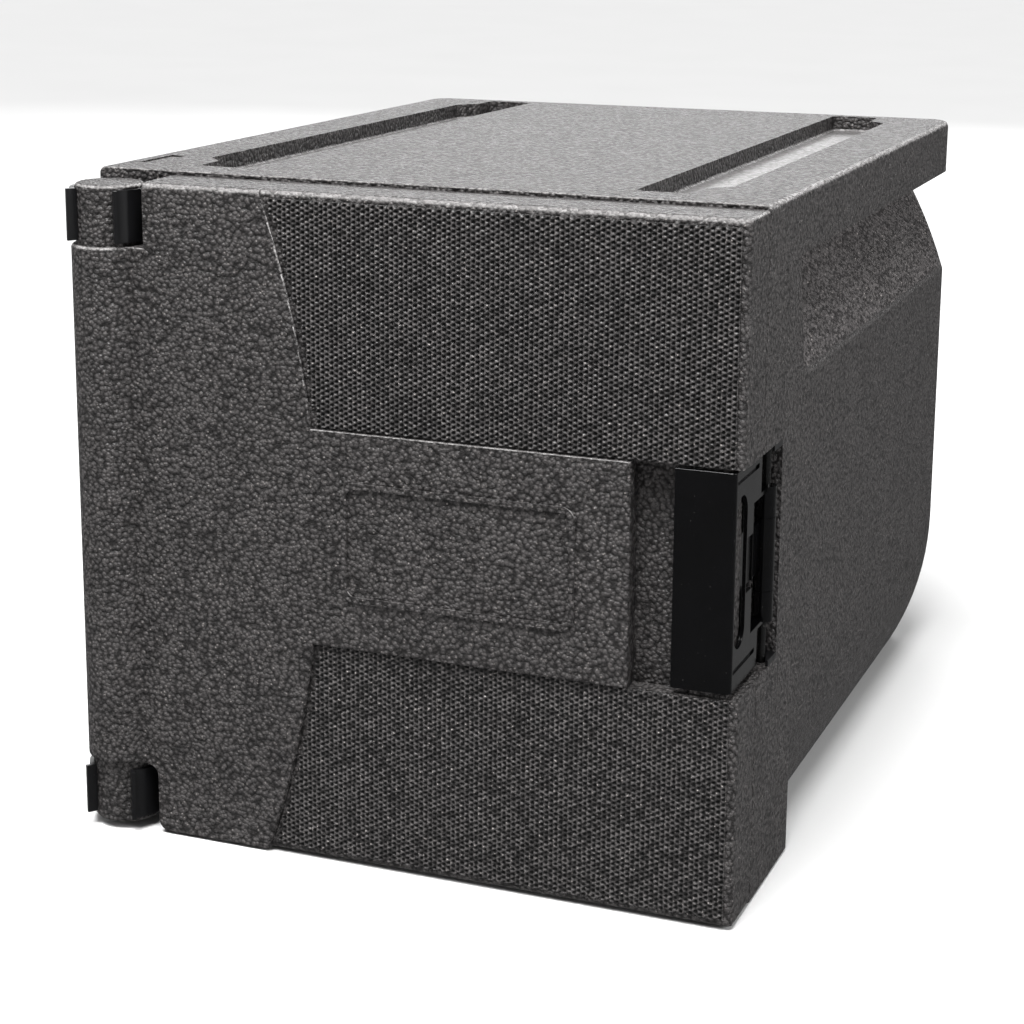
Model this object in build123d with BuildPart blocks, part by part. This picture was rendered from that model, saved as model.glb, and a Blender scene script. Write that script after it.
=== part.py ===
from build123d import *
from math import cos, radians, sin
import os

# Insulated front-loading food carrier, moulded in expanded polypropylene (EPP) foam.
# Frame: millimetres, +Z up, the door faces -Y, X runs to the right as seen from the front.
# The origin is the centre of the bottom of the whole carrier's bounding box.
# Depths are measured from the seam between door and body, positive to the rear.

os.makedirs("parts", exist_ok=True)

# Overall sizes
width = 490
height = 475
body_depth = 600
half_width = width / 2
rear_corner_radius = 20
top_edge_radius = 5
edge_radius = 3
seam_radius = 1.5            # rounding of both parts along the seam between door and body
overlap = 1                  # how far cutters and joined blocks run past a face

# Roof slab and side profile of the body
slab_thickness = 43.5
slab_z = height - slab_thickness
collar_depth = 97            # depth of the full-width collar behind the door, at the floor
collar_depth_mid = 103       # at the foot of the grip scoops
collar_depth_top = 83        # under the roof slab
scoop_foot_z = 345           # where the side starts to lean inwards under the roof
scoop_mid_x = 229
scoop_mid_z = 386.5
scoop_top_x = 205
belly_z = 122                # below this the side curves inwards to the floor
floor_half_width = 214
barrel_rear_radius = 14

# Food chamber: it takes gastronorm 1/1 pans, 530 x 325 mm, lengthwise
chamber_width = 337
chamber_height = 345
chamber_depth = 538
chamber_floor_z = 65
chamber_mid_z = chamber_floor_z + chamber_height / 2
chamber_radius = 12
rib_count = 12
rib_pitch = 27
rib_reach = 11.5
rib_height = 13
rib_radius = 4
rib_start = 24
rib_end = 528

# Strap and stacking channels in the roof
channel_inner_x = 143.5
channel_end_x = 183
channel_mid_x = 198
channel_front = 32
channel_rear = 584
channel_step = 16            # length of the S-bend between the narrow end and the wide middle
channel_end_length = 30
channel_depth = 13
channel_corner_radius = 7

# Plain label field moulded in the roof, near the front left corner
label_width = 12
label_length = 47
label_depth = 1
label_x = -226
label_front = 32

# Door
door_gap = 0.5
door_face_depth = -45        # woven panels
door_relief = 3.2            # the pebbled field and tongue stand proud by this much
door_face_top = door_face_depth - door_relief
door_bottom_z = 2
door_top_z = 472
door_edge_radius = 5
notch_x = -182.7             # left edge of the door beside the hinge stubs
notch_bottom_z = 51
notch_top_z = 427
notch_radius = 8
plug_gap = 3
plug_depth = 12
plug_taper = 12
relief_root = 6              # how far the raised field is let into the panel behind it

# Raised field: a concave sweep down to the tongue, then a band to the clasp
field_top_x = -94
field_mid_x = -70.3
field_corner_x = -56.5
tongue_end_x = 171
tongue_bottom_z = 159.5
tongue_top_z = 312
relief_edge_radius = 1.1

# Blank badge on the tongue
badge_x = 50
badge_width = 168
badge_height = 84
badge_radius = 10
badge_border = 4
badge_relief = 1.4

# Hinge: a foam column on the door with a turned-down stub at each end
hinge_x = -217.5
hinge_depth = -31.5
column_radius = 27.5
stub_radius = 24
stub_bottom_z = 5
stub_top_z = 469
clip_clearance = 0.4
clip_wall = 3
clip_height = 36
clip_low_z = 10
clip_high_z = 430
clip_right_deg = -52         # where the open ring ends, from +X
clip_left_deg = 232
clip_lip_reach = 4.2
clip_lip_wall = 2.6
clip_base_half = 16
clip_seat = 4
clip_fin_wall = 4
clip_fin_depth = 24
clip_barb_half = 6
clip_barb_wall = 4
clip_fin_height = 24

# Clasp recess in door and body
recess_bottom_z = 160
recess_top_z = 312.8
finger_depth = 12            # below the woven panel
finger_end_x = 212
foam_corner_depth = -43
recess_side_x = 236.5
pocket_side_x = 226
pocket_depth = 48.7

# Clasp, its pin and its bracket
pin_x = 238
pin_depth = 35.6
pin_radius = 2.8
pin_end_gap = 0.4
running_gap = 0.05
knuckle_radius = 7
clasp_wall = 2.5
clasp_left_x = 200
clasp_side_x = 240.5
clasp_face_depth = -47
clasp_bottom_z = 164.3
clasp_top_z = 311
clasp_lip = 2.6
clasp_corner_radius = 3.5
clasp_edge_radius = 0.7
frame_rear = -3              # rear edge of the side frame between the knuckles
frame_end_rear = 14          # rear edge of the side frame above and below them
frame_end_low_z = 192.6
frame_end_high_z = 281
rib_wall = 2.6               # flat ribs that carry the knuckles
rib_front = 0.5
low_knuckle_z = 190
high_knuckle_z = 262.4
knuckle_height = 21.2
mid_knuckle_z = 211.6
mid_knuckle_top_z = 262
window_front = -43
window_rear = -18
window_bottom_z = 191
window_top_z = 293
frame_notch_front = -17
frame_notch_z = 224
frame_notch_top_z = 261
groove_height = 3.4
groove_depth = 1.2
groove_front = -43
groove_rear = 8
groove_high_z = 304
groove_low_z = 178
bracket_wall = 2.5
bracket_side_x = 236
anchor_front = -17
anchor_rear = -1
anchor_z = 186
anchor_top_z = 282
web_z = 225
web_top_z = 260
web_bead_depth = 10
web_bead_reach = 1
anchor_fin_reach = 12
anchor_fin_height = 8
keeper_wall = 4
keeper_left_x = 230.5
keeper_front = 28
keeper_slot_gap = 0.35
keeper_mouth_flare = 2.5
keeper_tab_width = 8
keeper_tab_reach = 14

# Places worked out from the sizes above
hinge_reach = column_radius - hinge_depth
seam_y = -(body_depth - hinge_reach) / 2
hinge_y = seam_y + hinge_depth
pin_y = seam_y + pin_depth
recess_mid_z = (recess_bottom_z + recess_top_z) / 2
recess_height = recess_top_z - recess_bottom_z


def facing_front(depth):
    """Vertical plane across the carrier at a depth from the seam; its normal points at the user."""
    return Plane(origin=(0, seam_y + depth, 0), x_dir=(1, 0, 0), z_dir=(0, -1, 0))


def facing_right(x):
    """Vertical plane along the carrier; sketch x is the depth from the seam, sketch y is the height."""
    return Plane(origin=(x, seam_y, 0), x_dir=(0, 1, 0), z_dir=(1, 0, 0))


def save(part, label):
    part.label = label
    export_step(part, f"parts/{label}.step")


# ---------------------------------------------------------------- body shell
# Collar: the full-section front of the body, with a leaning rear face above the scoop foot
with BuildPart() as collar:
    with BuildSketch(facing_right(0)):
        with BuildLine():
            Polyline(
                (0, 0),
                (collar_depth, 0),
                (collar_depth_mid, scoop_foot_z),
                (collar_depth_top, slab_z + overlap),
                (0, slab_z + overlap),
                close=True,
            )
        make_face()
    extrude(amount=half_width, both=True)
    for side_face in (collar.faces().sort_by(Axis.X)[0], collar.faces().sort_by(Axis.X)[-1]):
        behind_seam = side_face.edges().filter_by(lambda e: e.center().Y > seam_y + overlap)
        fillet(behind_seam.filter_by(lambda e: e.center().Z < slab_z), edge_radius)

# Barrel: the long body behind the collar, hollowed under the roof and rounded to the floor
with BuildPart() as barrel:
    with BuildSketch(facing_front(edge_radius)):
        with BuildLine():
            Line((0, slab_z + overlap), (scoop_top_x, slab_z + overlap))
            Line((scoop_top_x, slab_z + overlap), (scoop_top_x, slab_z))
            ThreePointArc(
                (scoop_top_x, slab_z), (scoop_mid_x, scoop_mid_z), (half_width, scoop_foot_z)
            )
            Line((half_width, scoop_foot_z), (half_width, belly_z))
            TangentArc((half_width, belly_z), (floor_half_width, 0), tangent=(0, -1))
            Line((floor_half_width, 0), (0, 0))
            Line((0, 0), (0, slab_z + overlap))
        make_face()
        mirror(about=Plane.YZ)
    extrude(amount=edge_radius - body_depth)
    rear_edges = barrel.faces().sort_by(Axis.Y)[-1].edges()
    fillet(rear_edges.filter_by(lambda e: e.center().Z < slab_z - overlap), barrel_rear_radius)

# Roof slab
with BuildPart() as roof_slab:
    with BuildSketch(Plane.XY.offset(slab_z)):
        with Locations((0, seam_y + body_depth / 2)):
            Rectangle(width, body_depth)
    extrude(amount=slab_thickness)
    rear_corners = roof_slab.edges().filter_by(Axis.Z).group_by(Axis.Y)[-1]
    fillet(rear_corners, rear_corner_radius)
    top_edges = roof_slab.faces().sort_by(Axis.Z)[-1].edges()
    fillet(top_edges.sort_by(Axis.Y)[1:], top_edge_radius)

# One strap channel, on the right; the left one mirrors it
with BuildPart() as strap_channel:
    with BuildSketch(Plane(origin=(0, seam_y, height - channel_depth))) as channel_plan:
        wide_front = channel_front + channel_end_length + channel_step
        wide_rear = channel_rear - channel_end_length - channel_step
        with BuildLine():
            Polyline(
                (channel_inner_x, channel_front),
                (channel_end_x, channel_front),
                (channel_end_x, channel_front + channel_end_length),
                (channel_mid_x, wide_front),
                (channel_mid_x, wide_rear),
                (channel_end_x, channel_rear - channel_end_length),
                (channel_end_x, channel_rear),
                (channel_inner_x, channel_rear),
                close=True,
            )
        make_face()
        fillet(channel_plan.vertices(), channel_corner_radius)
    extrude(amount=channel_depth + overlap)
    fillet(strap_channel.faces().sort_by(Axis.Z)[0].edges(), edge_radius)
    mirror(about=Plane.YZ)


with BuildPart() as body_shell:
    add(collar.part)
    add(barrel.part)
    add(roof_slab.part)
    fillet(body_shell.faces().sort_by(Axis.Y)[0].edges(), seam_radius)
    add(strap_channel.part, mode=Mode.SUBTRACT)
    # food chamber
    with BuildSketch(facing_front(0)):
        with Locations((0, chamber_mid_z)):
            RectangleRounded(chamber_width, chamber_height, chamber_radius)
    extrude(amount=-chamber_depth, mode=Mode.SUBTRACT)
    # pan rails: rounded ribs moulded into both side walls
    with BuildSketch(facing_front(rib_start)):
        with Locations((0, chamber_mid_z)):
            with GridLocations(chamber_width, rib_pitch, 2, rib_count):
                RectangleRounded(2 * rib_reach, rib_height, rib_radius)
    extrude(amount=rib_start - rib_end)
    # label field
    with BuildSketch(Plane.XY.offset(height)):
        with Locations((label_x, seam_y + label_front + label_length / 2)):
            Rectangle(label_width, label_length)
    extrude(amount=-label_depth, mode=Mode.SUBTRACT)
    # clasp pocket in the right side
    with BuildSketch(facing_right(pocket_side_x)):
        with Locations(((pocket_depth - overlap) / 2, recess_mid_z)):
            Rectangle(pocket_depth + overlap, recess_height)
    extrude(amount=half_width - pocket_side_x + overlap, mode=Mode.SUBTRACT)
    # seats for the hinge clips, with slots for their barbed fins
    for clip_z in (clip_low_z, clip_high_z):
        with BuildSketch(Plane.XY.offset(clip_z)):
            with Locations((hinge_x, seam_y + clip_seat / 2)):
                Rectangle(2 * clip_base_half, clip_seat)
        extrude(amount=clip_height, mode=Mode.SUBTRACT)
        fin_z = clip_z + (clip_height - clip_fin_height) / 2
        with BuildSketch(Plane.XY.offset(fin_z)):
            with Locations((hinge_x, seam_y + (clip_seat + clip_fin_depth) / 2)):
                Rectangle(clip_fin_wall, clip_fin_depth - clip_seat)
            with Locations((hinge_x, seam_y + clip_fin_depth - clip_barb_wall / 2)):
                Rectangle(2 * clip_barb_half, clip_barb_wall)
        extrude(amount=clip_fin_height, mode=Mode.SUBTRACT)
    # slots for the tabs of the pin keepers, behind the clasp pocket
    for keeper_z in (recess_bottom_z, recess_top_z - keeper_wall):
        with BuildSketch(Plane.XY.offset(keeper_z)):
            with Locations((pin_x, seam_y + pocket_depth + keeper_tab_reach / 2)):
                Rectangle(keeper_tab_width, keeper_tab_reach)
        extrude(amount=keeper_wall, mode=Mode.SUBTRACT)
save(body_shell.part, "body_shell")


# ---------------------------------------------------------------- door shell
# Panel: the flat door with notches beside the hinge stubs
with BuildPart() as door_panel:
    with BuildSketch(facing_front(-door_gap)) as panel_outline:
        with BuildLine():
            Polyline(
                (notch_x, door_bottom_z),
                (half_width, door_bottom_z),
                (half_width, door_top_z),
                (notch_x, door_top_z),
                (notch_x, notch_top_z),
                (hinge_x, notch_top_z),
                (hinge_x, notch_bottom_z),
                (notch_x, notch_bottom_z),
                close=True,
            )
        make_face()
        corner_columns = panel_outline.vertices().group_by(Axis.X)
        fillet(corner_columns[-1], edge_radius)
        fillet(corner_columns[1].sort_by(Axis.Z)[:2], notch_radius)
    extrude(amount=-door_face_depth - door_gap)
    for face, radius in (
        (door_panel.faces().sort_by(Axis.Y)[0], door_edge_radius),
        (door_panel.faces().sort_by(Axis.Y)[-1], seam_radius),
    ):
        fillet(face.edges().filter_by(lambda e: e.center().X > 0), radius)

# Raised field and tongue, let into the panel
with BuildPart() as raised_field:
    with BuildSketch(facing_front(door_face_depth + relief_root)) as field_outline:
        with BuildLine():
            Polyline(
                (hinge_x, notch_bottom_z),
                (notch_x, notch_bottom_z),
                (notch_x, door_bottom_z),
                (field_top_x, door_bottom_z),
            )
            ThreePointArc(
                (field_top_x, door_bottom_z),
                (field_mid_x, (door_bottom_z + tongue_bottom_z) / 2),
                (field_corner_x, tongue_bottom_z),
            )
            Polyline(
                (field_corner_x, tongue_bottom_z),
                (tongue_end_x, tongue_bottom_z),
                (tongue_end_x, tongue_top_z),
                (field_corner_x, tongue_top_z),
            )
            ThreePointArc(
                (field_corner_x, tongue_top_z),
                (field_mid_x, (door_top_z + tongue_top_z) / 2),
                (field_top_x, door_top_z),
            )
            Polyline(
                (field_top_x, door_top_z),
                (notch_x, door_top_z),
                (notch_x, notch_top_z),
                (hinge_x, notch_top_z),
                (hinge_x, notch_bottom_z),
            )
        make_face()
        corner_columns = field_outline.vertices().group_by(Axis.X)
        fillet(corner_columns[1].sort_by(Axis.Z)[:2], notch_radius)
    extrude(amount=relief_root + door_relief)
    fillet(raised_field.faces().sort_by(Axis.Y)[0].edges().sort_by(Axis.Z)[-1], door_edge_radius)
    fillet(raised_field.faces().sort_by(Axis.Y)[0].edges().sort_by(Axis.Z)[:-1], relief_edge_radius)

# Hinge column with its two stubs
with BuildPart() as hinge_column:
    with BuildSketch(Plane.XY.offset(notch_bottom_z)):
        with Locations((hinge_x, hinge_y)):
            Circle(column_radius)
    extrude(amount=notch_top_z - notch_bottom_z)
    fillet(hinge_column.edges().filter_by(GeomType.CIRCLE), edge_radius)
    with BuildSketch(Plane.XY.offset(stub_bottom_z)):
        with Locations((hinge_x, hinge_y)):
            Circle(stub_radius)
    extrude(amount=stub_top_z - stub_bottom_z)
    rims = hinge_column.edges().filter_by(GeomType.CIRCLE)
    fillet(rims.group_by(Axis.Z)[0] + rims.group_by(Axis.Z)[-1], edge_radius)


def anchor_fin_section(fin_z):
    """Section of one of the fins that hold the bracket's anchor plate in the door."""
    with BuildSketch(facing_right(bracket_side_x - bracket_wall)) as section:
        with Locations(((anchor_front + anchor_rear) / 2, fin_z)):
            Rectangle(bracket_wall, anchor_fin_height)
    return section.sketch


anchor_fin_heights = (anchor_z + anchor_fin_height, anchor_top_z - anchor_fin_height)

with BuildPart() as door_shell:
    add(door_panel.part)
    add(raised_field.part)
    add(hinge_column.part)
    # plug that closes the chamber
    with BuildSketch(facing_front(-door_gap)):
        with Locations((0, chamber_mid_z)):
            RectangleRounded(
                chamber_width - 2 * plug_gap, chamber_height - 2 * plug_gap, chamber_radius
            )
    extrude(amount=-(plug_depth + door_gap), taper=plug_taper)
    # finger recess, then the seat of the clasp's front plate
    for left_x, right_x, floor_depth in (
        (tongue_end_x, finger_end_x, door_face_depth + finger_depth),
        (finger_end_x, half_width + overlap, foam_corner_depth),
    ):
        with BuildSketch(facing_front(floor_depth)):
            with Locations(((left_x + right_x) / 2, recess_mid_z)):
                Rectangle(right_x - left_x, recess_height)
        extrude(amount=floor_depth - door_face_top + overlap, mode=Mode.SUBTRACT)
    # seat of the clasp's side frame
    with BuildSketch(facing_right(recess_side_x)):
        with Locations((door_face_top / 2, recess_mid_z)):
            Rectangle(-door_face_top + 2 * overlap, recess_height)
    extrude(amount=half_width - recess_side_x + overlap, mode=Mode.SUBTRACT)
    # seat of the bracket's anchor plate, with slots for its fins
    with BuildSketch(facing_right(bracket_side_x - bracket_wall)):
        with Locations((anchor_front / 2, (anchor_z + anchor_top_z) / 2)):
            Rectangle(-anchor_front, anchor_top_z - anchor_z)
    extrude(amount=half_width - bracket_side_x, mode=Mode.SUBTRACT)
    for fin_z in anchor_fin_heights:
        extrude(anchor_fin_section(fin_z), amount=-anchor_fin_reach, mode=Mode.SUBTRACT)
    # blank badge: a low raised border on the tongue
    with BuildSketch(facing_front(door_face_top)):
        with Locations((badge_x, (tongue_bottom_z + tongue_top_z) / 2)):
            RectangleRounded(badge_width, badge_height, badge_radius)
            RectangleRounded(
                badge_width - 2 * badge_border,
                badge_height - 2 * badge_border,
                badge_radius - badge_border,
                mode=Mode.SUBTRACT,
            )
    extrude(amount=badge_relief)
save(door_shell.part, "door_shell")


# ---------------------------------------------------------------- hinge clips
clip_inner = stub_radius + clip_clearance
clip_outer = clip_inner + clip_wall
mouth_reach = 2 * clip_outer
mouth_corners = [
    (mouth_reach * cos(radians(lip_deg)), mouth_reach * sin(radians(lip_deg)))
    for lip_deg in (clip_right_deg, clip_left_deg)
]
for clip_name, clip_z in (("hinge_clip_lower", clip_low_z), ("hinge_clip_upper", clip_high_z)):
    with BuildPart() as hinge_clip:
        with BuildSketch(Plane(origin=(hinge_x, hinge_y, clip_z))):
            Circle(clip_outer)
            with Locations((0, (clip_seat - hinge_depth) / 2)):
                Rectangle(2 * clip_base_half, clip_seat - hinge_depth)
            Circle(clip_inner, mode=Mode.SUBTRACT)
            with BuildLine():
                Polyline((0, 0), *mouth_corners, close=True)
            make_face(mode=Mode.SUBTRACT)
            # flared lips at both ends of the ring, which guide the stub in
            for lip_deg in (clip_right_deg, clip_left_deg):
                with Locations(Location((0, 0, 0), (0, 0, lip_deg))):
                    with Locations((clip_inner + (clip_wall + clip_lip_reach) / 2, 0)):
                        Rectangle(clip_wall + clip_lip_reach, clip_lip_wall)
        extrude(amount=clip_height)
        fin_z = clip_z + (clip_height - clip_fin_height) / 2
        with BuildSketch(Plane(origin=(hinge_x, seam_y, fin_z))):
            with Locations((0, (clip_seat + clip_fin_depth) / 2)):
                Rectangle(clip_fin_wall, clip_fin_depth - clip_seat)
            with Locations((0, clip_fin_depth - clip_barb_wall / 2)):
                Rectangle(2 * clip_barb_half, clip_barb_wall)
        extrude(amount=clip_fin_height)
    save(hinge_clip.part, clip_name)


# ---------------------------------------------------------------- clasp
with BuildPart() as clasp_flap:
    # front plate, rounded corner, side frame and the small lip behind the free edge, in plan
    with BuildSketch(Plane(origin=(0, seam_y, clasp_bottom_z))) as clasp_section:
        with BuildLine():
            Polyline(
                (clasp_left_x, clasp_face_depth),
                (clasp_side_x, clasp_face_depth),
                (clasp_side_x, frame_end_rear),
                (clasp_side_x - clasp_wall, frame_end_rear),
                (clasp_side_x - clasp_wall, clasp_face_depth + clasp_wall),
                (clasp_left_x + clasp_wall, clasp_face_depth + clasp_wall),
                (clasp_left_x + clasp_wall, clasp_face_depth + clasp_wall + clasp_lip),
                (clasp_left_x, clasp_face_depth + clasp_wall + clasp_lip),
                close=True,
            )
        make_face()
        corner_columns = clasp_section.vertices().group_by(Axis.X)
        fillet(corner_columns[-1].sort_by(Axis.Y)[0], clasp_corner_radius)
        fillet(corner_columns[-2].sort_by(Axis.Y)[0], clasp_corner_radius - clasp_wall)
    extrude(amount=clasp_top_z - clasp_bottom_z)
    front_edges = clasp_flap.faces().sort_by(Axis.Y)[0].edges()
    fillet(front_edges.sort_by(Axis.X)[:-1], clasp_edge_radius)
    # through the side frame: the space between the knuckles, where its rear edge stands further
    # forward, the notch that leaves room for the bracket's web, and the long window
    with BuildSketch(facing_right(clasp_side_x - 2 * clasp_wall)):
        for front, rear, low_z, high_z in (
            (frame_rear, frame_end_rear + overlap, frame_end_low_z, frame_end_high_z),
            (frame_notch_front, frame_rear + overlap, frame_notch_z, frame_notch_top_z),
        ):
            with Locations(((front + rear) / 2, (low_z + high_z) / 2)):
                Rectangle(rear - front, high_z - low_z)
        with Locations(((window_front + window_rear) / 2, (window_bottom_z + window_top_z) / 2)):
            SlotOverall(window_top_z - window_bottom_z, window_rear - window_front, rotation=90)
    extrude(amount=3 * clasp_wall, mode=Mode.SUBTRACT)
    # shallow grooves above and below the window
    with BuildSketch(facing_right(clasp_side_x - groove_depth)):
        for groove_z in (groove_low_z, groove_high_z):
            with Locations(((groove_front + groove_rear) / 2, groove_z)):
                SlotOverall(groove_rear - groove_front, groove_height)
    extrude(amount=2 * groove_depth, mode=Mode.SUBTRACT)
    # flat ribs from the frame to the knuckles
    for rib_z in (frame_end_low_z - rib_wall, frame_end_high_z):
        with BuildSketch(Plane(origin=(0, seam_y, rib_z))):
            with Locations(((pin_x - knuckle_radius + clasp_side_x) / 2, (rib_front + pin_depth) / 2)):
                Rectangle(clasp_side_x - pin_x + knuckle_radius, pin_depth - rib_front)
            with Locations((pin_x, pin_depth)):
                Circle(pin_radius + running_gap, mode=Mode.SUBTRACT)
        extrude(amount=rib_wall)
    # knuckles that turn on the pin
    for knuckle_z in (low_knuckle_z, high_knuckle_z):
        with BuildSketch(Plane(origin=(pin_x, pin_y, knuckle_z))):
            Circle(knuckle_radius)
            Circle(pin_radius + running_gap, mode=Mode.SUBTRACT)
        extrude(amount=knuckle_height)
save(clasp_flap.part, "clasp_flap")

# Bracket: the middle knuckle, carried on the door by a web and a finned anchor plate
web_rear = pin_depth - knuckle_radius / 2
with BuildPart() as clasp_bracket:
    with BuildSketch(facing_right(bracket_side_x - bracket_wall)):
        with Locations(((anchor_front + anchor_rear) / 2, (anchor_z + anchor_top_z) / 2)):
            Rectangle(anchor_rear - anchor_front, anchor_top_z - anchor_z)
        with Locations(((anchor_rear + web_rear) / 2, (web_z + web_top_z) / 2)):
            Rectangle(web_rear - anchor_rear, web_top_z - web_z)
    extrude(amount=bracket_wall)
    # stiffening bead on the web
    with BuildSketch(facing_right(bracket_side_x)):
        with Locations((web_bead_depth, (web_z + web_top_z) / 2)):
            Rectangle(2 * web_bead_reach, web_top_z - web_z)
    extrude(amount=web_bead_reach)
    for fin_z in anchor_fin_heights:
        extrude(anchor_fin_section(fin_z), amount=-anchor_fin_reach)
    with BuildSketch(Plane(origin=(pin_x, pin_y, mid_knuckle_z))):
        Circle(knuckle_radius)
    extrude(amount=mid_knuckle_top_z - mid_knuckle_z)
    with BuildSketch(Plane(origin=(pin_x, pin_y, mid_knuckle_z))):
        Circle(pin_radius)
    extrude(amount=mid_knuckle_top_z - mid_knuckle_z, mode=Mode.SUBTRACT)
save(clasp_bracket.part, "clasp_bracket")

# Pin: nearly as long as the pocket is high, so that its ends stand in the keepers
with BuildPart() as clasp_pin:
    with BuildSketch(Plane(origin=(pin_x, pin_y, recess_bottom_z + pin_end_gap))):
        Circle(pin_radius)
    extrude(amount=recess_height - 2 * pin_end_gap)
save(clasp_pin.part, "clasp_pin")

# Keepers: slotted plates in the body's pocket, open to the front, that the pin's ends enter
slot_half = pin_radius + keeper_slot_gap
mouth_y = keeper_front - pin_depth
rear_y = pocket_depth - pin_depth
for keeper_name, keeper_z in (
    ("pin_keeper_lower", recess_bottom_z),
    ("pin_keeper_upper", recess_top_z - keeper_wall),
):
    with BuildPart() as pin_keeper:
        with BuildSketch(Plane(origin=(pin_x, pin_y, keeper_z))):
            with Locations(((keeper_left_x + half_width) / 2 - pin_x, (mouth_y + rear_y) / 2)):
                Rectangle(half_width - keeper_left_x, rear_y - mouth_y)
            with Locations((0, rear_y + keeper_tab_reach / 2)):
                Rectangle(keeper_tab_width, keeper_tab_reach)
            Circle(slot_half, mode=Mode.SUBTRACT)
            with BuildLine():
                Polyline(
                    (-slot_half, 0),
                    (-slot_half, mouth_y - overlap),
                    (slot_half + keeper_mouth_flare, mouth_y - overlap),
                    (slot_half, 0),
                    close=True,
                )
            make_face(mode=Mode.SUBTRACT)
        extrude(amount=keeper_wall)
    save(pin_keeper.part, keeper_name)
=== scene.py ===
"""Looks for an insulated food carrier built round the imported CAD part.

The two foam mouldings, the clasp and the hinge clips are CAD nodes that get procedural materials.
The knitted door panels and the textured hand grips are moulded patterns, built here as meshes.
Lengths are in metres, and depth is measured back from the plane where the door meets the body.
"""

import math
import random

import bmesh
import bpy
from mathutils import Matrix, Vector


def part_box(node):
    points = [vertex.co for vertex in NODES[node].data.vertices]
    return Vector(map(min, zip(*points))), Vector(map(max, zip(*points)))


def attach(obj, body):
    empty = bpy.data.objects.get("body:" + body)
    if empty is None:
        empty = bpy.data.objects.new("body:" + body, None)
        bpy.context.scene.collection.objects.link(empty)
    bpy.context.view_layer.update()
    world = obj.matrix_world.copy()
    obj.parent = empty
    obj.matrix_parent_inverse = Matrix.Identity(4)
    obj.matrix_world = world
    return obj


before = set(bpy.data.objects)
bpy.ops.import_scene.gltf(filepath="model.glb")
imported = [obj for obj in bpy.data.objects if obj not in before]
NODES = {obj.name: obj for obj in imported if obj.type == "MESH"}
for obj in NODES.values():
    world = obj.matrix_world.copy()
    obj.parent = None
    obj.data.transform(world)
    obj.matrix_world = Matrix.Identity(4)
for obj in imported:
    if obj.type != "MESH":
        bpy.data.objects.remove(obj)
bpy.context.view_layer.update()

MM = 0.001
SEAM_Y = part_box("body_shell")[0].y

# Door panels: the knitted sheets lie on the panel face, right of the raised field's curved edge.
PANEL_FACE_DEPTH = -45.0 * MM
PANEL_LEFT_X = -92.0 * MM
PANEL_RIGHT_X = 239.5 * MM
UPPER_PANEL_Z = (313.4 * MM, 466.5 * MM)
LOWER_PANEL_Z = (7.5 * MM, 158.9 * MM)
FIELD_EDGE_X = (-94.0 * MM, -70.3 * MM, -56.5 * MM)
GROOVE_WIDTH = 1.4 * MM
KNIT_COLUMN = 3.4 * MM
KNIT_ROW = 3.6 * MM
UPPER_RELIEF = (1.9 * MM, 0.15 * MM)
LOWER_RELIEF = (1.5 * MM, 0.2 * MM)

# Hand grips: the arc under the roof slab, through three points of the body's section.
GRIP_ARC = ((245.0 * MM, 345.0 * MM), (229.0 * MM, 386.5 * MM), (205.0 * MM, 431.5 * MM))
GRIP_Z = (349.0 * MM, 431.0 * MM)
GRIP_DEPTH = (91.0 * MM, 582.0 * MM)
GRIP_COLUMN = 4.2 * MM
GRIP_ROW = 4.0 * MM

CHANNEL_FLOOR_Z = 462.0 * MM
DOOR_Z = (2.0 * MM, 472.0 * MM)
TONGUE_Z = (159.5 * MM, 312.0 * MM)
SEED = 7

# Foam: the size of its beads, bright flecks, cloudy tone and fine grain, and its colours.
BEAD_SIZE = 2.9 * MM
FLECK_SIZE = 1.6 * MM
CLOUD_SIZE = 35.0 * MM
GRAIN_SIZE = 1.1 * MM
BEAD_DARK = (0.030, 0.0283, 0.0283)
BEAD_LIGHT = (0.066, 0.0615, 0.061)
FLECK_COLOUR = (0.17, 0.155, 0.148)
# Painted shade for the creases between beads.
CREASE_SHADE_COLOUR = (0.006, 0.0055, 0.0055)
# Painted shade for the floors of the knitted pits.
PIT_SHADE_COLOUR = (0.004, 0.004, 0.004)
# Painted highlight for the rounded upper edges.
EDGE_HIGHLIGHT_COLOUR = (0.25, 0.242, 0.24)
CHANNEL_COLOUR = (0.09, 0.087, 0.0865)

DUST_COLOUR = (0.22, 0.21, 0.2)
LAMP_TARGET = (0.0, 0.0, 0.24)


def world_point(x, depth, z):
    """The point at x and z, that far behind the seam plane."""
    return Vector((x, SEAM_Y + depth, z))


# Materials


def shaded(colour, shade):
    """The colour made lighter or darker by a factor."""
    return tuple(shade * channel for channel in colour)


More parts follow.
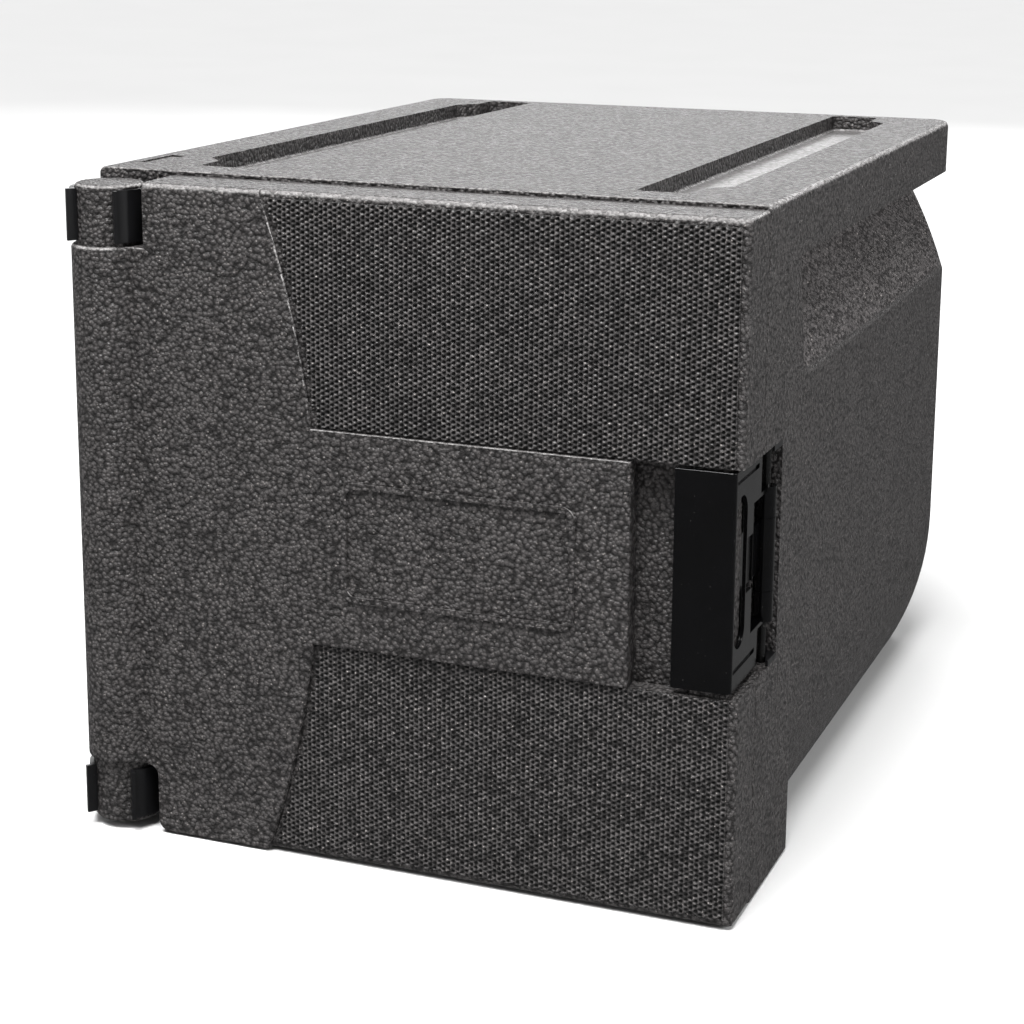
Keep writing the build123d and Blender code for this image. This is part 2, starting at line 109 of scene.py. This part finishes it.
class ShaderGraph:
    """One material's nodes, on object coordinates so that a pattern stays with its piece."""

    def __init__(self, name):
        self.material = bpy.data.materials.new(name)
        self.material.use_nodes = True
        self.tree = self.material.node_tree
        self.shader = self.tree.nodes["Principled BSDF"]
        self.coords = self.add("ShaderNodeTexCoord").outputs["Object"]

    def add(self, kind, links=None, **settings):
        """A node whose attributes and input values are the settings, with its inputs linked."""
        node = self.tree.nodes.new(kind)
        for key, value in settings.items():
            if hasattr(node, key):
                setattr(node, key, value)
            else:
                node.inputs[key.replace("_", " ")].default_value = value
        for key, source in (links or {}).items():
            self.tree.links.new(source, node.inputs[key])
        return node

    def voronoi(self, size, feature="F1"):
        """Cells about size across."""
        links = {"Vector": self.coords}
        return self.add("ShaderNodeTexVoronoi", links, feature=feature, Scale=1 / size)

    def tone(self, cells, channel):
        """A random value for each cell, taken from one channel of its colour."""
        node = self.add("ShaderNodeSeparateColor", {"Color": cells.outputs["Color"]})
        return node.outputs[channel]

    def axis(self, vector, name):
        """One of the three numbers of a vector."""
        return self.add("ShaderNodeSeparateXYZ", {"Vector": vector}).outputs[name]

    def scaled(self, factors):
        """The object coordinates, each scaled by its factor."""
        node = self.add("ShaderNodeMapping", {"Vector": self.coords})
        node.inputs["Scale"].default_value = factors
        return node.outputs["Vector"]

    def noise(self, size, detail=2.0, vector=None):
        """Noise whose features are about size across."""
        links = {"Vector": vector or self.coords}
        node = self.add("ShaderNodeTexNoise", links, Scale=1 / size, Detail=detail)
        return node.outputs["Fac"]

    def ramp(self, value, low, high, start=0.0, end=1.0):
        """value mapped smoothly from low..high to start..end."""
        node = self.add("ShaderNodeMapRange", {"Value": value}, interpolation_type="SMOOTHSTEP")
        node.inputs["From Min"].default_value = low
        node.inputs["From Max"].default_value = high
        node.inputs["To Min"].default_value = start
        node.inputs["To Max"].default_value = end
        return node.outputs["Result"]

    def hump(self, value, low, full, still_full, high):
        """1 where value is between full and still_full, falling to 0 at low and at high."""
        rising = self.ramp(value, low, full)
        return self.math("MULTIPLY", rising, self.ramp(value, still_full, high, 1.0, 0.0))

    def math(self, operation, first, second):
        """A maths node on a socket and a socket or number."""
        node = self.add("ShaderNodeMath", {0: first}, operation=operation)
        if isinstance(second, (int, float)):
            node.inputs[1].default_value = second
        else:
            self.tree.links.new(second, node.inputs[1])
        return node.outputs["Value"]

    def mix(self, share, first, second):
        """A colour mix, where each colour is a socket or three numbers."""
        node = self.add("ShaderNodeMix", {"Factor": share}, data_type="RGBA")
        for key, colour in (("A", first), ("B", second)):
            socket = [s for s in node.inputs if s.name == key and s.type == "RGBA"][0]
            if isinstance(colour, tuple):
                socket.default_value = (*colour, 1.0)
            else:
                self.tree.links.new(colour, socket)
        return [s for s in node.outputs if s.type == "RGBA"][0]

    def bump(self, height, distance, strength=1.0):
        """A normal bumped by height times distance."""
        node = self.add("ShaderNodeBump", {"Height": height}, Distance=distance, Strength=strength)
        return node.outputs["Normal"]

    def finish(self, colour, roughness, normal):
        """Links the three varying inputs of the shader."""
        self.tree.links.new(colour, self.shader.inputs["Base Color"])
        self.tree.links.new(roughness, self.shader.inputs["Roughness"])
        self.tree.links.new(normal, self.shader.inputs["Normal"])
        return self.material


def bead_colour(graph, beads, domes, shade):
    """Beads in mixed tones, with cloudy lighter areas, bright flecks and painted shade in the
    creases.
    """
    light = shaded(BEAD_LIGHT, shade)
    base = graph.mix(graph.tone(beads, "Red"), shaded(BEAD_DARK, shade), light)
    cloud = graph.noise(CLOUD_SIZE, 3.0)
    base = graph.mix(graph.ramp(cloud, 0.35, 0.7, 0.0, 0.45), base, light)
    flecks = graph.voronoi(FLECK_SIZE)
    core = graph.ramp(flecks.outputs["Distance"], 0.2, 0.5, 1.0, 0.0)
    chosen = graph.ramp(graph.tone(flecks, "Green"), 0.93, 0.96)
    base = graph.mix(graph.math("MULTIPLY", core, chosen), base, shaded(FLECK_COLOUR, shade))
    # Painted shade in the creases between the beads.
    crease_shade = graph.ramp(domes.outputs["Distance"], 0.35, 0.7, 0.0, 0.75)
    return graph.mix(crease_shade, base, CREASE_SHADE_COLOUR)


def paint_pit_shade(graph, base, face):
    """Painted shade: the colour darkened from a pattern's ridges to its floor, where face is (floor,
    ridge).
    """
    floor, ridge = (SEAM_Y + level for level in face)
    pit_shade = graph.ramp(graph.axis(graph.coords, "Y"), ridge, floor, 0.0, 0.93)
    return graph.mix(pit_shade, base, PIT_SHADE_COLOUR)


def paint_edge_highlights(graph, base, beads, upward, edge_highlight_strength):
    """The colour lightened on rounded upper edges by a painted highlight, where light from above
    catches them, more on some beads than on others.
    """
    # Painted highlight where the surface tilts up towards the light from above.
    edge = graph.hump(upward, 0.25, 0.6, 0.8, 0.985)
    patchy = graph.ramp(graph.tone(beads, "Green"), 0.0, 1.0, 0.4 * edge_highlight_strength, edge_highlight_strength)
    return graph.mix(graph.math("MULTIPLY", edge, patchy), base, EDGE_HIGHLIGHT_COLOUR)


def channel_floor(graph, upward):
    """1 on the level floors of the strap channels, 0 elsewhere."""
    height = graph.axis(graph.coords, "Z")
    level = graph.hump(height, *(CHANNEL_FLOOR_Z + step * MM for step in (-1.0, -0.5, 0.5, 1.0)))
    return graph.math("MULTIPLY", level, graph.ramp(upward, 0.9, 0.97))


def foam_material(name, shade=1.0, bead_height=2.0 * MM, face=None, edge_highlight_strength=0.0):
    """Expanded foam: small fused beads, with creases between them. A shade above 1 makes a lighter
    copy, as painted light.

    Where face is given, it is the depth of the floor and of the ridges of a pattern on the door's
    front, and painted shade darkens the floor. The last argument is how strong a painted highlight
    on the rounded upper edges is, and with it the strap channels' floors are smooth.
    """
    graph = ShaderGraph(name)
    beads = graph.voronoi(BEAD_SIZE)
    domes = graph.voronoi(BEAD_SIZE, "SMOOTH_F1")
    domes.inputs["Smoothness"].default_value = 0.35
    grain = graph.math("MULTIPLY", graph.noise(GRAIN_SIZE, 3.0), 0.4)
    relief = graph.math("SUBTRACT", grain, domes.outputs["Distance"])
    base = bead_colour(graph, beads, domes, shade)
    # Painted shade on the floor of the door's pattern.
    if face:
        base = paint_pit_shade(graph, base, face)
    if edge_highlight_strength:
        # Painted highlight on the upper edges, and smooth channel floors.
        facing = graph.add("ShaderNodeNewGeometry").outputs["Normal"]
        upward = graph.axis(facing, "Z")
        base = paint_edge_highlights(graph, base, beads, upward, edge_highlight_strength)
        smooth = channel_floor(graph, upward)
        base = graph.mix(smooth, base, CHANNEL_COLOUR)
        relief = graph.math("MULTIPLY", relief, graph.ramp(smooth, 0.0, 1.0, 1.0, 0.12))
    rough = graph.ramp(graph.tone(beads, "Blue"), 0.0, 1.0, 0.3, 0.5)
    graph.shader.inputs["Specular IOR Level"].default_value = 0.2
    return graph.finish(base, rough, graph.bump(relief, bead_height))


def plastic_material(name, colour, roughness, grain_height, dust):
    """Black moulded plastic with a fine surface, faint wear and some dust."""
    graph = ShaderGraph(name)
    cloud = graph.noise(22 * MM, 3.0)
    base = graph.mix(graph.ramp(cloud, 0.35, 0.7, 0.0, 0.6), colour, shaded(colour, 1.6))
    specks = graph.voronoi(2.4 * MM)
    core = graph.ramp(specks.outputs["Distance"], 0.03, 0.1, 1.0, 0.0)
    chosen = graph.ramp(graph.tone(specks, "Red"), 1.0 - dust, 1.0 - dust * 0.8)
    base = graph.mix(graph.math("MULTIPLY", core, chosen), base, DUST_COLOUR)
    smear = graph.noise(9 * MM, 3.0, graph.scaled((1.0, 1.0, 0.35)))
    rough = graph.ramp(smear, 0.3, 0.75, roughness, roughness + 0.09)
    normal = graph.bump(graph.noise(0.8 * MM, 2.0), grain_height, 0.5)
    graph.shader.inputs["Specular IOR Level"].default_value = 0.3
    return graph.finish(base, rough, normal)


def assign(target, material):
    """Makes the material the only one on an object."""
    target.data.materials.clear()
    target.data.materials.append(material)


def dress_nodes(foam, hinge_plastic, clasp_plastic, pin_plastic):
    """Gives every CAD node its material."""
    for name in ("body_shell", "door_shell"):
        assign(NODES[name], foam)
    for name in ("hinge_clip_lower", "hinge_clip_upper", "pin_keeper_lower", "pin_keeper_upper"):
        assign(NODES[name], hinge_plastic)
    for name in ("clasp_flap", "clasp_bracket"):
        assign(NODES[name], clasp_plastic)
    assign(NODES["clasp_pin"], pin_plastic)


# Moulded patterns


class PitSheet:
    """A sheet with a staggered grid of pits: each pit is a ring of ridge, a rim and a floor."""

    CORNERS = ((2, 0), (1, 1), (-1, 1), (-2, 0), (-1, -1), (1, -1))

    def __init__(self, size, column, row, ridge, floor, jitter, seed):
        self.size = size
        self.column = column
        self.row = row
        self.ridge = ridge
        self.floor = floor
        self.jitter = jitter
        self.dice = random.Random(seed)
        self.mesh = bmesh.new()
        self.shared = {}

    def wobble(self, share=1.0):
        """A small random step to either side."""
        return self.dice.uniform(-1.0, 1.0) * self.jitter * share

    def corner(self, column, row):
        """The ridge vertex at a lattice place, which up to three pits share."""
        key = (column, row)
        if key not in self.shared:
            u = column * self.column / 3 + self.wobble()
            v = row * self.row / 2 + self.wobble()
            drop = 0.35 * self.ridge if column % 3 == 1 else 0.0
            height = self.ridge - drop + self.wobble(0.5)
            self.shared[key] = self.mesh.verts.new((u, v, height))
        return self.shared[key]

    def ring(self, centre, corners, share, height):
        """Vertices part of the way from a pit's centre to its corners, at a share of their height."""
        made = []
        for corner in corners:
            spot = centre.lerp(corner.co.xy, share)
            level = height * corner.co.z
            made.append(self.mesh.verts.new((spot.x, spot.y, level)))
        return made

    def add_pit(self, column, row, slant):
        """One pit, its floor moved along v by slant so that the ridges look looped."""
        places = [(3 * column + a, 2 * row + column % 2 + b) for a, b in self.CORNERS]
        corners = [self.corner(*place) for place in places]
        centre = Vector((column * self.column, (row + column % 2 / 2) * self.row))
        rim = self.ring(centre, corners, 0.76, 0.8)
        low_centre = centre + Vector((0.0, slant))
        bottom = self.ring(low_centre, corners, 0.34, self.floor / self.ridge)
        for outer, inner in ((corners, rim), (rim, bottom)):
            for i in range(6):
                j = (i + 1) % 6
                self.mesh.faces.new((outer[i], outer[j], inner[j], inner[i]))
        self.mesh.faces.new(bottom)

    def fill(self, slant, keep=None):
        """Pits over the whole sheet and a little beyond its edges, where keep(u, v) allows."""
        columns = int(self.size[0] / self.column) + 3
        rows = int(self.size[1] / self.row) + 3
        for column in range(-1, columns):
            for row in range(-1, rows):
                if keep is None or keep(column * self.column, row * self.row):
                    self.add_pit(column, row, slant)

    def trim(self):
        """Cuts the sheet to its size."""
        edges = (
            ((0, 0, 0), (-1, 0, 0)),
            ((0, 0, 0), (0, -1, 0)),
            ((*self.size, 0), (1, 0, 0)),
            ((*self.size, 0), (0, 1, 0)),
        )
        for point, outward in edges:
            parts = [*self.mesh.verts, *self.mesh.edges, *self.mesh.faces]
            bmesh.ops.bisect_plane(
                self.mesh, geom=parts, plane_co=point, plane_no=outward, clear_outer=True, dist=1e-6
            )

    def close(self, back):
        """Walls from the sheet's edge back to a flat face, which lies inside the foam."""
        rim = [edge for edge in self.mesh.edges if edge.is_boundary]
        made = bmesh.ops.extrude_edge_only(self.mesh, edges=rim)["geom"]
        for vert in [part for part in made if isinstance(part, bmesh.types.BMVert)]:
            vert.co.z = back
        rim = [edge for edge in self.mesh.edges if edge.is_boundary]
        bmesh.ops.edgeloop_fill(self.mesh, edges=rim)

    def to_object(self, name, place):
        """The finished piece, each point moved to place(u, v, height)."""
        for vert in self.mesh.verts:
            vert.co = place(*vert.co)
        bmesh.ops.recalc_face_normals(self.mesh, faces=self.mesh.faces)
        for face in self.mesh.faces:
            face.smooth = len(face.verts) <= 6
        data = bpy.data.meshes.new(name)
        self.mesh.to_mesh(data)
        self.mesh.free()
        made = bpy.data.objects.new(name, data)
        bpy.context.scene.collection.objects.link(made)
        return made


def arc_through(points):
    """Centre and radius of the circle through three points."""
    (ax, ay), (bx, by), (cx, cy) = points
    d = 2 * (ax * (by - cy) + bx * (cy - ay) + cx * (ay - by))
    a2, b2, c2 = ax * ax + ay * ay, bx * bx + by * by, cx * cx + cy * cy
    x = (a2 * (by - cy) + b2 * (cy - ay) + c2 * (ay - by)) / d
    y = (a2 * (cx - bx) + b2 * (ax - cx) + c2 * (bx - ax)) / d
    return x, y, math.hypot(ax - x, ay - y)


def field_edge(outer_z, tongue_z):
    """The x of the raised field's curved edge at any z, from the door's rim to the tongue."""
    points = (
        (FIELD_EDGE_X[0], outer_z),
        (FIELD_EDGE_X[1], (outer_z + tongue_z) / 2),
        (FIELD_EDGE_X[2], tongue_z),
    )
    centre_x, centre_z, radius = arc_through(points)
    side = math.copysign(1.0, FIELD_EDGE_X[1] - centre_x)
    return lambda z: centre_x + side * math.sqrt(radius**2 - (z - centre_z) ** 2)


def knitted_panel(name, z_range, edge, relief, slant, material, seed):
    """One of the door's two knitted panels, where relief is the height of its ridges and floor.

    A groove is left beside the raised field, whose edge is at x = edge(z).
    """
    ridge, floor = relief
    size = (PANEL_RIGHT_X - PANEL_LEFT_X, z_range[1] - z_range[0])
    sheet = PitSheet(size, KNIT_COLUMN, KNIT_ROW, ridge, floor, 0.28 * MM, seed)
    clear = GROOVE_WIDTH + KNIT_COLUMN * 2 / 3
    sheet.fill(slant, lambda u, v: PANEL_LEFT_X + u > edge(z_range[0] + v) + clear)
    sheet.trim()
    sheet.close(-0.8 * MM)

    def place(u, v, height):
        return world_point(PANEL_LEFT_X + u, PANEL_FACE_DEPTH - height, z_range[0] + v)

    panel = sheet.to_object(name, place)
    assign(panel, material)
    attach(panel, "door")


def grip_sheet(name, side, material, seed):
    """The fine pattern on the arc under the roof, on the side where x has the sign of side."""
    centre_x, centre_z, radius = arc_through(GRIP_ARC)
    turns = [math.asin((z - centre_z) / radius) for z in GRIP_Z]
    size = (GRIP_DEPTH[1] - GRIP_DEPTH[0], (turns[1] - turns[0]) * radius)
    sheet = PitSheet(size, GRIP_COLUMN, GRIP_ROW, 1.2 * MM, 0.1 * MM, 0.12 * MM, seed)
    sheet.fill(0.2 * MM)
    sheet.trim()
    sheet.close(-0.6 * MM)

    def place(u, v, height):
        turn = turns[0] + v / radius
        reach = radius + height
        x = side * (centre_x + reach * math.cos(turn))
        return world_point(x, GRIP_DEPTH[0] + u, centre_z + reach * math.sin(turn))

    grip = sheet.to_object(name, place)
    assign(grip, material)
    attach(grip, "body")


# Studio


def area_light(name, spot, size, power):
    """A soft rectangular lamp at spot that faces the middle of the object."""
    lamp = bpy.data.lights.new(name, "AREA")
    lamp.shape = "RECTANGLE"
    lamp.size, lamp.size_y = size
    lamp.energy = power
    made = bpy.data.objects.new(name, lamp)
    made.location = spot
    facing = (Vector(LAMP_TARGET) - Vector(spot)).to_track_quat("-Z", "Y")
    made.rotation_euler = facing.to_euler()
    bpy.context.scene.collection.objects.link(made)


def soft_sun(name, direction, strength, spread):
    """Even light from far away that travels along direction, softened over an angle of spread."""
    lamp = bpy.data.lights.new(name, "SUN")
    lamp.energy = strength
    lamp.angle = math.radians(spread)
    made = bpy.data.objects.new(name, lamp)
    made.rotation_euler = Vector(direction).to_track_quat("-Z", "Y").to_euler()
    bpy.context.scene.collection.objects.link(made)


def studio_floor(radius=80.0):
    """A pale round floor under the object, so wide that it fades out, left out of reflections."""
    mesh = bmesh.new()
    bmesh.ops.create_circle(mesh, cap_ends=True, segments=96, radius=radius)
    data = bpy.data.meshes.new("studio_floor")
    mesh.to_mesh(data)
    mesh.free()
    floor = bpy.data.objects.new("studio_floor", data)
    bpy.context.scene.collection.objects.link(floor)
    graph = ShaderGraph("studio_floor")
    cloud = graph.noise(0.4)
    colour = graph.mix(cloud, (0.58, 0.58, 0.58), (0.6, 0.6, 0.6))
    rough = graph.ramp(cloud, 0.3, 0.7, 0.85, 0.95)
    graph.shader.inputs["Specular IOR Level"].default_value = 0.5
    assign(floor, graph.finish(colour, rough, graph.bump(cloud, 0.05 * MM, 0.1)))
    floor.visible_glossy = False


def pale_world(lighting, backdrop):
    """A pale surround, which may look brighter than the light it gives."""
    world = bpy.data.worlds.new("surround")
    world.use_nodes = True
    tree = world.node_tree
    glow = tree.nodes["Background"]
    glow.inputs["Strength"].default_value = lighting
    sky = tree.nodes.new("ShaderNodeBackground")
    sky.inputs["Strength"].default_value = backdrop
    for shader in (glow, sky):
        shader.inputs["Color"].default_value = (1.0, 1.0, 1.0, 1.0)
    path = tree.nodes.new("ShaderNodeLightPath")
    blend = tree.nodes.new("ShaderNodeMixShader")
    tree.links.new(path.outputs["Is Camera Ray"], blend.inputs["Fac"])
    tree.links.new(glow.outputs["Background"], blend.inputs[1])
    tree.links.new(sky.outputs["Background"], blend.inputs[2])
    tree.links.new(blend.outputs["Shader"], tree.nodes["World Output"].inputs["Surface"])
    bpy.context.scene.world = world


def light_studio():
    """Soft light from above the front, with softboxes overhead, behind and beside the object."""
    pale_world(lighting=0.2, backdrop=1.0)
    soft_sun("lamp_sun", direction=(0.04, 0.38, -1.0), strength=4.4, spread=30.0)
    area_light("lamp_over", spot=(-0.1, -0.75, 1.9), size=(1.6, 0.35), power=50.0)
    area_light("lamp_back", spot=(-0.9, 4.2, 2.1), size=(4.2, 1.5), power=105.0)
    area_light("lamp_left", spot=(-2.0, -1.0, 0.9), size=(0.4, 1.6), power=9.0)
    area_light("lamp_right", spot=(1.9, -0.4, 0.9), size=(0.6, 0.8), power=25.0)


def place_camera(spot, yaw, pitch, roll, focal_length, shift_y):
    """The camera, turned yaw from +Y about Z, then pitched down and rolled, angles in radians."""
    forward = Vector(
        (math.sin(yaw) * math.cos(pitch), math.cos(yaw) * math.cos(pitch), -math.sin(pitch))
    )
    level = forward.cross(Vector((0, 0, 1))).normalized()
    down = forward.cross(level)
    right = math.cos(roll) * level + math.sin(roll) * down
    rolled_down = math.cos(roll) * down - math.sin(roll) * level
    turn = Matrix((right, -rolled_down, -forward)).transposed()
    lens = bpy.data.cameras.new("camera")
    lens.sensor_width = 36.0
    lens.lens = focal_length
    lens.shift_y = shift_y
    made = bpy.data.objects.new("camera", lens)
    made.matrix_world = Matrix.Translation(spot) @ turn.to_4x4()
    bpy.context.scene.collection.objects.link(made)
    bpy.context.scene.camera = made


foam = foam_material("foam_beads", edge_highlight_strength=0.9)
upper_face = (PANEL_FACE_DEPTH - UPPER_RELIEF[1], PANEL_FACE_DEPTH - UPPER_RELIEF[0])
lower_face = (PANEL_FACE_DEPTH - LOWER_RELIEF[1], PANEL_FACE_DEPTH - LOWER_RELIEF[0])
# The knitted panels and the grips are lighter copies of the same foam, as painted light; on the grips
# it makes up for the roof slab's shadow.
knit_upper = foam_material("foam_knit_upper", 1.5, 0.35 * MM, upper_face)
knit_lower = foam_material("foam_knit_lower", 1.6, 0.35 * MM, lower_face)
grip_foam = foam_material("foam_grip", 1.5, 0.3 * MM)
hinge_plastic = plastic_material("plastic_satin", (0.004, 0.004, 0.0045), 0.3, 0.05 * MM, 0.05)
clasp_plastic = plastic_material("plastic_gloss", (0.001, 0.001, 0.0012), 0.1, 0.01 * MM, 0.1)
pin_plastic = plastic_material("plastic_pin", (0.004, 0.004, 0.004), 0.2, 0.02 * MM, 0.05)
dress_nodes(foam, hinge_plastic, clasp_plastic, pin_plastic)

upper_edge = field_edge(DOOR_Z[1], TONGUE_Z[1])
lower_edge = field_edge(DOOR_Z[0], TONGUE_Z[0])
knitted_panel("knit_upper", UPPER_PANEL_Z, upper_edge, UPPER_RELIEF, 0.35 * MM, knit_upper, SEED)
knitted_panel("knit_lower", LOWER_PANEL_Z, lower_edge, LOWER_RELIEF, -0.35 * MM, knit_lower, SEED + 1)
grip_sheet("grip_pattern_right", 1, grip_foam, SEED + 2)
grip_sheet("grip_pattern_left", -1, grip_foam, SEED + 3)

light_studio()
studio_floor()
place_camera(
    spot=(0.6064, -1.6286, 0.6664),
    yaw=-0.376,
    pitch=0.217,
    roll=-0.007,
    focal_length=78.497,
    shift_y=-0.125,
)
bpy.context.scene.view_settings.view_transform = "Standard"
